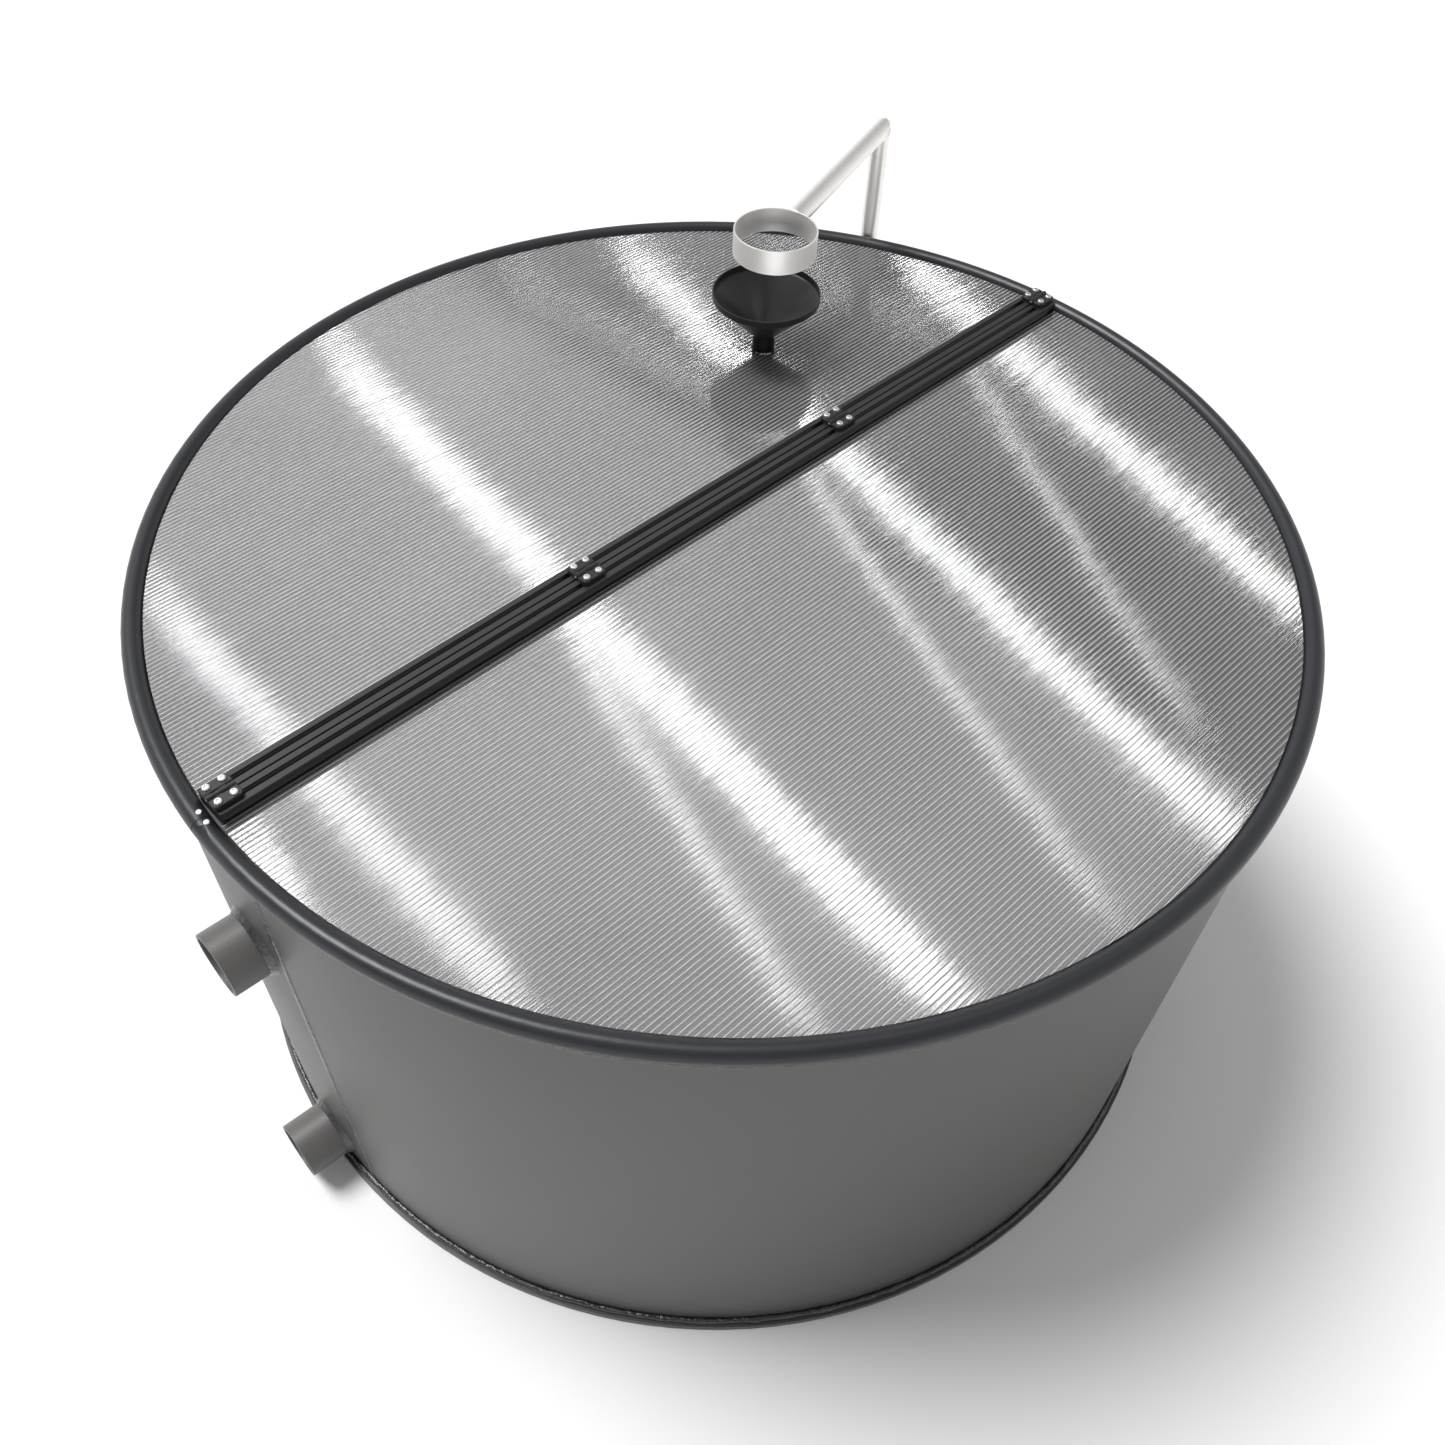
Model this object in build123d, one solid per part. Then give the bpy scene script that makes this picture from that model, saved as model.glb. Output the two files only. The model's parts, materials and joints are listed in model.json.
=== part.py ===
from build123d import *

import math
import os

# Round welded plastic tank with a ribbed clear lid in two halves.
# Millimetres. Origin: centre of the base plate's underside. +Z up.
# The hinge bar runs along X, the half of the lid that opens lies towards -Y.

# Tank shell
wall_outer_radius = 650.0
wall_thickness = 8.0
wall_height = 708.0
base_thickness = 10.0
base_overhang = 10.0
base_weld_leg = 6.0

# Rim bead, a grooved round bar on the wall's top edge
bead_radius = 11.0
bead_outward_shift = 3.0
bead_joint_gap = 0.8
bead_joint_y = 32.5
rim_weld_radius = 4.5
rim_screw_spacing = 15.0
rim_screw_radius = 1.7
rim_screw_head_radius = 3.2
rim_screw_head_height = 2.0
rim_screw_length = 22.0

# Vertical weld seam of the wall
seam_angle = 183.4
seam_half_width = 4.0
seam_height = 1.3

# Pipe stubs
stub_radius = 37.5
stub_wall = 4.3
stub_inside = 12.0
stub_weld_leg = 6.0
stub_neck_relief = 0.5
upper_stub_angle = 178.0
upper_stub_below_rim = 191.0
upper_stub_reach = 45.0
lower_stub_angle = 177.0
lower_stub_gap = 1.0
lower_stub_reach = 55.0

# Ribbed sheet of the lid
sheet_thickness = 6.0
sheet_skin = 0.8
sheet_rib = 0.6
rib_pitch = 5.6
sheet_rim_gap = 1.0
sheet_top_above_wall = 4.0
ledge_width = 32.0
ledge_thickness = 12.0
ledge_weld_leg = 5.0

# Slotted aluminium profiles of the hinge bar
bar_y = 38.0
profile_size = 20.0
profile_gap = 1.6
profile_end_gap = 1.3
slot_mouth = 6.2
slot_lip = 1.8
slot_width = 11.2
slot_straight_depth = 3.2
slot_depth = 5.9
slot_floor_width = 5.8
profile_bore = 2.1
end_cap_thickness = 2.0

# Strip under each profile that carries the sheet's straight edge
strip_thickness = 2.0
strip_under_profile = 16.0
strip_under_sheet = 25.0
strip_screw_count = 5
strip_screw_end_margin = 70.0

# Hinges
hinge_spacing_fractions = (-1.0, -0.286, 0.358, 1.0)
hinge_length = 31.0
hinge_overhang = 1.5
leaf_edge_margin = 5.5
leaf_thickness = 6.0
leaf_corner = 4.5
knuckle_radius = 3.5
knuckle_count = 4
knuckle_gap = 0.3
barrel_clearance = 0.4
pin_radius = 1.5
pin_clearance = 0.05
hinge_screw_pitch = 16.6

# Screws and slot nuts
screw_radius = 1.98
screw_hole_radius = 2.2
screw_head_radius = 4.0
screw_head_height = 2.6
recess_width = 0.9
recess_length = 4.4
recess_depth = 1.2
nut_clearance = 0.2
nut_thickness = 3.0

# Post, arm and ring beside the tank
tube_radius = 12.5
tube_wall = 1.5
post_angle = 28.35
post_gap_to_bead = 3.5
arm_above_rim = 156.0
ring_x = 287.0
ring_y = 220.0
ring_above_rim = 137.0
ring_height = 31.0
ring_radius = 52.0
ring_wall = 2.0
socket_height = 40.0
socket_width = 50.0
socket_wall = 9.0
socket_floor = 8.0
socket_corner = 10.0
upper_socket_below_rim = 78.0
lower_socket_below_rim = 300.0
socket_clearance = 0.08
socket_weld_leg = 5.0
plug_length = 14.0

# Funnel
funnel_x = 278.0
funnel_y = 221.0
funnel_mouth_radius = 68.5
funnel_collar = 8.0
funnel_collar_step = 2.5
funnel_wall = 1.6
funnel_top_above_sheet = 82.0
cone_bottom_above_sheet = 18.0
spout_top_radius = 11.5
spout_tip_radius = 8.5
spout_below_sheet = 26.0
funnel_hole_radius = 15.0
fin_radius = 18.5
fin_thickness = 2.0
fin_count = 4
fin_gap = 0.3

# Worked out from the sizes above
wall_inner_radius = wall_outer_radius - wall_thickness
wall_top = base_thickness + wall_height
base_radius = wall_outer_radius + base_overhang
bead_centre_radius = wall_outer_radius - wall_thickness / 2 + bead_outward_shift
bead_inner_radius = bead_centre_radius - bead_radius
bead_outer_radius = bead_centre_radius + bead_radius
sheet_top = wall_top + sheet_top_above_wall
sheet_bottom = sheet_top - sheet_thickness
sheet_radius = bead_inner_radius - sheet_rim_gap
profile_bottom = sheet_bottom
profile_top = profile_bottom + profile_size
profile_offset = (profile_size + profile_gap) / 2
bar_back_edge = bar_y + profile_gap / 2 + profile_size
bar_half_length = math.sqrt((bead_inner_radius - profile_end_gap) ** 2 - bar_back_edge**2)
profile_half_length = bar_half_length - end_cap_thickness
ledge_inner_radius = wall_inner_radius - ledge_width
leaf_inner_edge = knuckle_radius + barrel_clearance
pin_height = profile_top + knuckle_radius + knuckle_gap
hinge_span = bar_half_length - hinge_length / 2 + hinge_overhang
hinge_reach = profile_offset + leaf_edge_margin
hinge_screw_to_cap = (hinge_length - hinge_screw_pitch) / 2 - hinge_overhang - end_cap_thickness
nut_length = 2 * (hinge_screw_to_cap - nut_clearance)
hinge_places = [hinge_span * share for share in hinge_spacing_fractions]
stub_neck_radius = stub_radius - stub_neck_relief
stub_shoulder = stub_weld_leg + 1.0
upper_stub_height = wall_top - upper_stub_below_rim
lower_stub_height = base_thickness + base_weld_leg + lower_stub_gap + stub_radius
post_axis_radius = bead_outer_radius + post_gap_to_bead + tube_radius
post_x = post_axis_radius * math.cos(math.radians(post_angle))
post_y = post_axis_radius * math.sin(math.radians(post_angle))
arm_height = wall_top + arm_above_rim
ring_bottom = wall_top + ring_above_rim
upper_socket_bottom = wall_top - upper_socket_below_rim
lower_socket_bottom = wall_top - lower_socket_below_rim
post_foot = lower_socket_bottom + socket_floor + pin_clearance
FRONT, BACK = -1, 1


def upright(radius, low, high, x=0.0, y=0.0):
    """A vertical round bar between two heights."""
    bar = Cylinder(radius, high - low, align=(Align.CENTER, Align.CENTER, Align.MIN))
    return Pos(x, y, low) * bar


def hoop(outer, inner, low, high):
    """A flat-sided ring about the tank's axis."""
    return upright(outer, low, high) - upright(inner, low, high)


def turned(points, angle=360.0, start=0.0):
    """A closed (radius, height) outline turned about the tank's axis."""
    section = make_face(Polyline(*[(r, 0, z) for r, z in points], close=True))
    return Rot(0, 0, start) * revolve(section, Axis.Z, angle)


def at_angle(angle, radius, height):
    """A place beside the tank's axis, with its local X pointing outwards."""
    return Rot(0, 0, angle) * Pos(radius, 0, height)


def along_x(section, half_length, y, z):
    """A section drawn in (Y, Z), drawn out to both sides along X."""
    bar = extrude(Plane.YZ * section, half_length, both=True)
    return Pos(0, y, z) * bar


# Tank shell, base and rim


def bead_section(radius):
    """The round outline of the rim bead at the wall's top edge."""
    return Plane.XZ * Pos(bead_centre_radius, wall_top) * Circle(radius)


def bead_joint_angle():
    """Where the bead's two ends meet, beside the hinge bar's end."""
    return 180.0 - math.degrees(math.asin(bead_joint_y / bead_centre_radius))


def rim_screw_places():
    """Both screws on the wall's centre line, either side of the bead's joint."""
    radius = wall_outer_radius - wall_thickness / 2
    half_turn = math.degrees(rim_screw_spacing / 2 / radius)
    return [at_angle(bead_joint_angle() + side * half_turn, radius, 0) for side in (-1, 1)]


def rim_screw_seat():
    """Height of the flat under each rim screw's head."""
    return wall_top + bead_radius - rim_screw_head_height / 2


def rim_screw_holes():
    """Cutters for the rim screws' shanks and head seats."""
    seat = rim_screw_seat()
    shank = upright(rim_screw_radius, seat - rim_screw_length - 1, seat + 1)
    head = upright(rim_screw_head_radius + 0.2, seat, seat + bead_radius)
    return [place * cutter for place in rim_screw_places() for cutter in (shank, head)]


def base_plate():
    return upright(base_radius, 0, base_thickness)


def base_weld():
    """Outer weld bead in the corner between wall and base plate."""
    low, leg, edge = base_thickness, base_weld_leg, wall_outer_radius
    return turned([(edge, low), (edge + leg, low), (edge + leg * 0.7, low + leg * 0.7), (edge, low + leg)])


def inner_base_weld():
    """Inner weld bead in the corner between wall and base plate."""
    low, leg, edge = base_thickness, base_weld_leg, wall_inner_radius
    return turned([(edge, low), (edge - leg, low), (edge, low + leg)])


def wall_shell():
    shell = hoop(wall_outer_radius, wall_inner_radius, base_thickness, wall_top)
    cutters = rim_screw_holes()
    for angle, height in stub_places():
        hole = upright(stub_neck_radius, -3 * wall_thickness, 3 * wall_thickness)
        cutters.append(stub_frame(angle, height) * hole)
    return shell - cutters


def wall_seam():
    """The raised weld that closes the rolled wall sheet."""
    round_radius = (seam_half_width**2 + seam_height**2) / (2 * seam_height)
    low = base_thickness + base_weld_leg + 0.5
    high = wall_top - bead_radius - 2 * rim_weld_radius
    bar = upright(round_radius, low, high)
    placed = at_angle(seam_angle, wall_outer_radius + seam_height - round_radius, 0) * bar
    return placed - upright(wall_outer_radius, 0, wall_top)


def rim_bead():
    """Grooved round bar bent round the wall's edge, with its ends butted."""
    groove = Plane.XZ * Pos(wall_outer_radius - wall_thickness / 2, wall_top - bead_radius)
    groove = groove * Rectangle(wall_thickness, 2 * bead_radius)
    gap_angle = math.degrees(bead_joint_gap / bead_centre_radius)
    turn = revolve(bead_section(bead_radius) - groove, Axis.Z, 360 - gap_angle)
    bead = Rot(0, 0, bead_joint_angle() + gap_angle / 2) * turn
    return bead - rim_screw_holes()


def rim_weld():
    """Weld bead under the rim, between the bead and the wall's outside."""
    middle = (wall_outer_radius + 1.5, wall_top - bead_radius - 2.0)
    weld = Plane.XZ * Pos(*middle) * Circle(rim_weld_radius)
    inside = Plane.XZ * Pos(wall_outer_radius - wall_thickness, middle[1])
    weld -= inside * Rectangle(2 * wall_thickness, 4 * rim_weld_radius)
    weld -= bead_section(bead_radius)
    return revolve(weld, Axis.Z)


def rim_screws():
    seat = rim_screw_seat()
    shank = upright(rim_screw_radius - 0.02, seat - rim_screw_length, seat)
    head = upright(rim_screw_head_radius, seat, seat + rim_screw_head_height)
    head = fillet(head.edges().group_by(Axis.Z)[-1], rim_screw_head_height * 0.6)
    head -= cross_recess(seat + rim_screw_head_height, 0.6)
    return [place * (shank + head) for place in rim_screw_places()]


def lid_ledge():
    """Inner ring under the lid, relieved for the rim bead above it."""
    ring = hoop(wall_inner_radius, ledge_inner_radius, sheet_bottom - ledge_thickness, sheet_bottom)
    ring -= revolve(bead_section(bead_radius + 0.3), Axis.Z)
    holes = [
        upright(screw_hole_radius, sheet_bottom - ledge_thickness - 1, sheet_bottom + 1, x, y)
        for x, y in bar_screw_places()
    ]
    return ring - holes


def ledge_weld():
    """Weld bead under the ledge."""
    top, leg, edge = sheet_bottom - ledge_thickness, ledge_weld_leg, wall_inner_radius
    return turned([(edge, top), (edge - leg, top), (edge, top - leg)])


# Pipe stubs


def stub_places():
    return [(upper_stub_angle, upper_stub_height), (lower_stub_angle, lower_stub_height)]


def stub_frame(angle, height):
    """A place on the wall's outside, with its local Z pointing outwards."""
    return at_angle(angle, wall_outer_radius, height) * Rot(0, 90, 0)


def pipe_stub(angle, height, reach):
    """Short open pipe through the wall, turned a little thinner where it is welded."""
    low = -(wall_thickness + stub_inside)
    pipe = upright(stub_neck_radius, low, stub_shoulder)
    pipe += upright(stub_radius, stub_shoulder, reach)
    rims = pipe.edges().group_by(Axis.Z)
    pipe = chamfer(rims[0] + rims[-1], stub_wall * 0.15)
    pipe -= upright(stub_radius - stub_wall, low - 1, reach + 1)
    return stub_frame(angle, height) * pipe


def stub_weld(angle, height):
    """Weld collar round a stub where it leaves the wall."""
    foot = stub_radius + stub_weld_leg
    sagitta = wall_outer_radius - math.sqrt(wall_outer_radius**2 - foot**2)
    low_end = (Align.CENTER, Align.CENTER, Align.MIN)
    collar = Cone(foot, stub_radius + 0.5, stub_weld_leg + sagitta, align=low_end)
    collar = Pos(0, 0, -sagitta) * collar - upright(stub_neck_radius, -stub_radius, stub_radius)
    placed = stub_frame(angle, height) * collar
    placed -= upright(wall_outer_radius, 0, wall_top)
    return placed - upright(base_radius, 0, base_thickness + base_weld_leg)


# Lid sheets


def sheet_edge(side):
    """Y of a sheet's straight edge, against the outside of its profile."""
    return bar_y + side * (profile_gap / 2 + profile_size)


def sheet_outline(side):
    """The part of the lid's circle beyond one side of the hinge bar."""
    edge = sheet_edge(side)
    depth = 2 * sheet_radius
    beyond = Pos(0, edge + side * depth / 2) * Rectangle(2 * depth, depth)
    return Circle(sheet_radius) & beyond


def flutes(side):
    """The hollow channels inside a sheet, all along X."""
    edge = sheet_edge(side)
    depth = sheet_radius - side * edge
    count = int((depth - 2 * rib_pitch) / rib_pitch)
    channel = Box(3 * sheet_radius, rib_pitch - sheet_rib, sheet_thickness - 2 * sheet_skin)
    middle = (sheet_top + sheet_bottom) / 2
    first = edge + side * (sheet_rib / 2 + rib_pitch / 2)
    return [Pos(0, first + side * rib_pitch * index, middle) * channel for index in range(count)]


def ribbed_sheet(side):
    """Half of the lid, cut from hollow ribbed sheet."""
    blank = Pos(0, 0, sheet_bottom) * extrude(sheet_outline(side), sheet_thickness)
    return blank - flutes(side)


def back_sheet():
    hole = upright(funnel_hole_radius, sheet_bottom - 1, sheet_top + 1, funnel_x, funnel_y)
    return ribbed_sheet(BACK) - hole


# Hinge bar


def profile_middle(side):
    """Y and Z of a profile's centre line."""
    return bar_y + side * profile_offset, profile_bottom + profile_size / 2


def slot_outline():
    """One T-slot, open towards the outline's +Y, in a section about its centre."""
    half = profile_size / 2
    straight = half - slot_straight_depth
    floor = half - slot_depth
    right = [
        (slot_mouth / 2, half + 1),
        (slot_mouth / 2, half - slot_lip),
        (slot_width / 2, half - slot_lip),
        (slot_width / 2, straight),
        (slot_floor_width / 2, floor),
    ]
    left = [(-x, y) for x, y in reversed(right)]
    return make_face(Polyline(*right, *left, close=True))


def slotted_profile(side):
    """Square aluminium profile with a T-slot in each face and a centre bore."""
    section = RectangleRounded(profile_size, profile_size, 0.8)
    section -= [Rot(0, 0, turn) * slot_outline() for turn in (0, 90, 180, 270)]
    section -= Circle(profile_bore)
    return along_x(section, profile_half_length, *profile_middle(side))


def end_caps(side):
    """A plastic cover on each end of a profile."""
    y, z = profile_middle(side)
    plate = Box(end_cap_thickness, profile_size, profile_size)
    plate = fillet(plate.edges().filter_by(Axis.X), 1.5)
    reach = profile_half_length + end_cap_thickness / 2
    return [Pos(end * reach, y, z) * plate for end in (-1, 1)]


def sheet_strip(side):
    """Flat strip that joins the sheet's straight edge to its profile."""
    width = strip_under_profile + strip_under_sheet
    middle = sheet_edge(side) + side * (strip_under_sheet - width / 2)
    corner_y = max(abs(middle - width / 2), abs(middle + width / 2))
    half_length = math.sqrt((ledge_inner_radius - 4) ** 2 - corner_y**2)
    height = sheet_bottom - strip_thickness / 2
    strip = Pos(0, middle, height) * Box(2 * half_length, width, strip_thickness)
    y = profile_middle(side)[0]
    holes = [
        upright(screw_hole_radius, sheet_bottom - strip_thickness - 1, sheet_bottom + 1, x, y)
        for x in strip_screw_places()
    ]
    return strip - holes


def strip_screw_places():
    """X of the screws, evenly spaced and clear of the bar's own fixings."""
    step = 2 * (profile_half_length - strip_screw_end_margin) / (strip_screw_count - 1)
    return [step * (index - (strip_screw_count - 1) / 2) for index in range(strip_screw_count)]


def bar_screw_places():
    """X and Y of the two screws that hold the back profile to the ledge."""
    y = profile_middle(BACK)[0]
    middle = (ledge_inner_radius + sheet_radius) / 2
    reach = min(math.sqrt(middle**2 - y**2), profile_half_length - nut_length / 2 - 1)
    return [(-reach, y), (reach, y)]


# Screws and nuts


def cross_recess(top, scale=1.0):
    """Cutter for a cross-shaped drive recess in a screw head."""
    depth = recess_depth * scale
    bars = [Box(recess_length * scale, recess_width * scale, 2 * depth)]
    bars.append(Rot(0, 0, 90) * bars[0])
    return [Pos(0, 0, top) * bar for bar in bars]


def pan_screw(length):
    """Pan-head screw, its shank pointing down from Z = 0."""
    head = upright(screw_head_radius, 0, screw_head_height)
    head = fillet(head.edges().group_by(Axis.Z)[-1], screw_head_height * 0.55)
    head -= cross_recess(screw_head_height)
    return head + upright(screw_radius, -length, 0)


def slot_nut():
    """Nut for a T-slot, its mouth side up and level with the profile's face."""
    mouth = slot_mouth / 2 - nut_clearance
    shoulder = slot_lip + nut_clearance
    straight = slot_straight_depth - nut_clearance
    floor = shoulder + nut_thickness
    wide = slot_width / 2 - nut_clearance
    slope = (slot_width - slot_floor_width) / 2 / (slot_depth - slot_straight_depth)
    narrow = wide - slope * (floor - straight)
    right = [(mouth, -0.4), (mouth, -shoulder), (wide, -shoulder), (wide, -straight), (narrow, -floor)]
    left = [(-x, y) for x, y in reversed(right)]
    section = make_face(Polyline(*right, *left, close=True))
    return along_x(section, nut_length / 2, 0, 0) - upright(screw_radius + 0.02, -20, 20)


def hinge_screw_places(side):
    """X and Y of the two screws in each leaf on one side."""
    y = profile_middle(side)[0]
    return [(x + end * hinge_screw_pitch / 2, y) for x in hinge_places for end in (-1, 1)]


def hinge_screws(side):
    """Screws through the leaves, just reaching through their slot nuts."""
    length = leaf_thickness + slot_lip + nut_thickness
    height = profile_top + leaf_thickness
    return [Pos(x, y, height) * pan_screw(length) for x, y in hinge_screw_places(side)]


def hinge_nuts(side):
    return [Pos(x, y, profile_top) * slot_nut() for x, y in hinge_screw_places(side)]


def underneath(x, y, height):
    """A place for a screw or nut that points up into a slot from below."""
    return Pos(x, y, height) * Rot(180, 0, 0)


def strip_screws(side):
    length = strip_thickness + slot_lip + nut_thickness
    y, height = profile_middle(side)[0], sheet_bottom - strip_thickness
    return [underneath(x, y, height) * pan_screw(length) for x in strip_screw_places()]


def strip_nuts(side):
    y = profile_middle(side)[0]
    return [underneath(x, y, profile_bottom) * slot_nut() for x in strip_screw_places()]


def bar_fixing_screws():
    length = ledge_thickness + slot_lip + nut_thickness
    height = sheet_bottom - ledge_thickness
    return [underneath(x, y, height) * pan_screw(length) for x, y in bar_screw_places()]


def bar_fixing_nuts():
    return [underneath(x, y, profile_bottom) * slot_nut() for x, y in bar_screw_places()]


# Hinges


def leaf_plate(side):
    """The flat of a hinge leaf, on its profile, rounded at its outer corners."""
    depth = hinge_reach - leaf_inner_edge
    plate = Box(hinge_length, depth, leaf_thickness, align=(Align.CENTER, Align.CENTER, Align.MIN))
    uprights = plate.edges().filter_by(Axis.Z).sort_by(Axis.Y)
    outer = uprights[:2] if side == FRONT else uprights[2:]
    plate = fillet(outer, leaf_corner)
    plate = chamfer(plate.faces().sort_by(Axis.Z)[-1].edges(), 0.7)
    return Pos(0, side * (leaf_inner_edge + depth / 2), 0) * plate


def knuckle(side, index):
    """One knuckle of the hinge barrel, with the web that ties it to its leaf."""
    step = hinge_length / knuckle_count
    length = step - knuckle_gap
    axis_height = pin_height - profile_top
    section = Pos(0, axis_height) * Circle(knuckle_radius)
    web_top = leaf_thickness - 0.7
    web_low = knuckle_gap * 1.5
    reach = leaf_inner_edge + 1.5
    web = Pos(side * reach / 2, (web_top + web_low) / 2) * Rectangle(reach, web_top - web_low)
    section += web
    section -= Pos(0, axis_height) * Circle(pin_radius + pin_clearance)
    middle = (index - (knuckle_count - 1) / 2) * step
    return Pos(middle, 0, 0) * along_x(section, length / 2, 0, 0)


def hinge_leaf(side, place):
    """One leaf of one hinge. The two leaves take alternate knuckles."""
    first = 0 if side == BACK else 1
    leaf = leaf_plate(side)
    for index in range(first, knuckle_count, 2):
        leaf += knuckle(side, index)
    for end in (-1, 1):
        y = side * profile_offset
        leaf -= upright(screw_hole_radius, -1, leaf_thickness + 1, end * hinge_screw_pitch / 2, y)
    return Pos(place, bar_y, profile_top) * leaf


def hinge_pins():
    pin = Rot(0, 90, 0) * Cylinder(pin_radius, hinge_length)
    pin = chamfer(pin.edges(), 0.3)
    return [Pos(x, bar_y, pin_height) * pin for x in hinge_places]


# Post, arm and ring


def arm_frame():
    """Length of the arm, and a place at the post's top with local X along it."""
    dx, dy = ring_x - post_x, ring_y - post_y
    place = Pos(post_x, post_y, arm_height) * Rot(0, 0, math.degrees(math.atan2(dy, dx)))
    return math.hypot(dx, dy), place


def mitre_plane():
    """The plane through the top corner that halves its right angle."""
    place = arm_frame()[1]
    tilted = place * Rot(0, 45, 0)
    return Plane(tilted)


def post_tube():
    high = arm_height + 3 * tube_radius
    tube = upright(tube_radius, post_foot, high, post_x, post_y)
    tube -= upright(tube_radius - tube_wall, post_foot - 1, high + 1, post_x, post_y)
    return split(tube, bisect_by=mitre_plane(), keep=Keep.BOTTOM)


def arm_tube():
    """Level tube from the mitred corner, shaped at its end to meet the ring."""
    length, place = arm_frame()
    start = -3 * tube_radius
    outer = Cylinder(tube_radius, length - start, align=(Align.CENTER, Align.CENTER, Align.MIN))
    inner = Cylinder(tube_radius - tube_wall, length - start, align=(Align.CENTER, Align.CENTER, Align.MIN))
    tube = place * Pos(start, 0, 0) * Rot(0, 90, 0) * (outer - inner)
    low, high = arm_height - 3 * tube_radius, arm_height + 3 * tube_radius
    tube -= upright(ring_radius, low, high, ring_x, ring_y)
    return split(tube, bisect_by=mitre_plane(), keep=Keep.TOP)


def post_plug():
    """Plastic plug in the foot of the post."""
    radius = tube_radius - tube_wall
    return upright(radius, post_foot, post_foot + plug_length, post_x, post_y)


def holder_ring():
    ring = upright(ring_radius, ring_bottom, ring_bottom + ring_height, ring_x, ring_y)
    bore = upright(ring_radius - ring_wall, ring_bottom - 1, ring_bottom + ring_height + 1, ring_x, ring_y)
    return chamfer((ring - bore).edges().filter_by(GeomType.CIRCLE), 0.3)


def post_socket(bottom, floor):
    """Plastic block on the outside of the wall that the post stands in."""
    outer = post_axis_radius + tube_radius + socket_wall
    depth = outer - wall_outer_radius + wall_thickness
    block = Box(depth, socket_width, socket_height, align=(Align.MAX, Align.CENTER, Align.MIN))
    corners = block.edges().filter_by(Axis.Z).group_by(Axis.X)[-1]
    block = fillet(corners, socket_corner)
    block = at_angle(post_angle, outer, bottom) * block
    block -= upright(wall_outer_radius, 0, wall_top)
    bore = tube_radius + socket_clearance
    return block - upright(bore, bottom + floor, bottom + socket_height + 1, post_x, post_y)


def socket_welds():
    """Short weld beads along the top and bottom of each post socket."""
    turn = math.degrees(socket_width / wall_outer_radius)
    edge, leg = wall_outer_radius, socket_weld_leg
    welds = []
    for bottom in (upper_socket_bottom, lower_socket_bottom):
        top = bottom + socket_height
        welds.append([(edge, top), (edge + leg, top), (edge, top + leg)])
        welds.append([(edge, bottom), (edge + leg, bottom), (edge, bottom - leg)])
    return [turned(points, turn, post_angle - turn / 2) for points in welds]


# Funnel


def funnel_outline():
    """The funnel's wall as a closed (radius, height) outline."""
    top = sheet_top + funnel_top_above_sheet
    step = top - funnel_collar
    cone_low = sheet_top + cone_bottom_above_sheet
    tip = sheet_bottom - spout_below_sheet
    mouth, neck = funnel_mouth_radius, funnel_mouth_radius - funnel_collar_step
    outside = [(mouth, top), (mouth, step), (neck, step - 1)]
    outside += [(spout_top_radius, cone_low), (spout_tip_radius, tip)]
    inside = [(radius - funnel_wall, height) for radius, height in reversed(outside)]
    inside[1] = (spout_top_radius - funnel_wall, cone_low + funnel_wall * 0.6)
    return outside + inside


def funnel_fins():
    """Upright fins under the cone that rest on the sheet round the hole."""
    low = sheet_top + fin_gap
    high = sheet_top + cone_bottom_above_sheet + 4
    inner = spout_top_radius - funnel_wall / 2
    fin = Box(
        fin_radius - inner, fin_thickness, high - low, align=(Align.MIN, Align.CENTER, Align.MIN)
    )
    return [Rot(0, 0, 360 / fin_count * index) * Pos(inner, 0, low) * fin for index in range(fin_count)]


def funnel():
    body = turned(funnel_outline())
    bore = [(0.01, sheet_top), (spout_top_radius - funnel_wall, sheet_top)]
    bore += [(spout_top_radius - funnel_wall, sheet_top + cone_bottom_above_sheet + 8)]
    bore += [(0.01, sheet_top + cone_bottom_above_sheet + 8)]
    for fin in funnel_fins():
        body += fin - turned(bore)
    return Pos(funnel_x, funnel_y, 0) * body


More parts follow.
